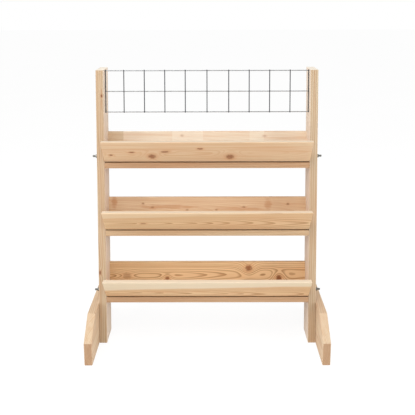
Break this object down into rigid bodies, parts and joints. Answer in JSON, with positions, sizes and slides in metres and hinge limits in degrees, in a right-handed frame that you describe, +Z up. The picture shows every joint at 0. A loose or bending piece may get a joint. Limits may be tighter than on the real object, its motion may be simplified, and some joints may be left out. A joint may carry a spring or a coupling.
{
  "type": "planter with trellis",
  "caption": "Free-standing wooden planter of tilted troughs one above another between two leaning posts on feet, with a wire mesh trellis across the top for climbing plants.",
  "frame": {"origin": "on the floor, midway between the two feet and midway along them", "axes": "+X along the troughs to the viewer's right, -Y towards the front, +Z up"},
  "size_m": [0.584, 0.3556, 0.673],
  "materials": {
    "wood": "matte",
    "galvanised_wire": "satin",
    "zinc_steel": "satin"
  },
  "bodies": {
    "root": {"left_post": "wood", "right_post": "wood", "left_foot": "wood", "right_foot": "wood", "lower_front_board": "wood", "lower_bottom_board": "wood", "lower_back_board": "wood", "lower_left_cleat": "wood", "lower_right_cleat": "wood", "middle_front_board": "wood", "middle_bottom_board": "wood", "middle_back_board": "wood", "middle_left_cleat": "wood", "middle_right_cleat": "wood", "upper_front_board": "wood", "upper_bottom_board": "wood", "upper_back_board": "wood", "upper_left_cleat": "wood", "upper_right_cleat": "wood", "trellis_level_wires": "galvanised_wire", "trellis_upright_wires": "galvanised_wire", "bolts": "zinc_steel", "washers": "zinc_steel", "nuts": "zinc_steel", "foot_screws": "zinc_steel", "bottom_board_screws": "zinc_steel", "back_board_screws": "zinc_steel", "cleat_post_screws": "zinc_steel", "cleat_front_screws": "zinc_steel", "cleat_bottom_screws": "zinc_steel"}
  },
  "joints": []
}
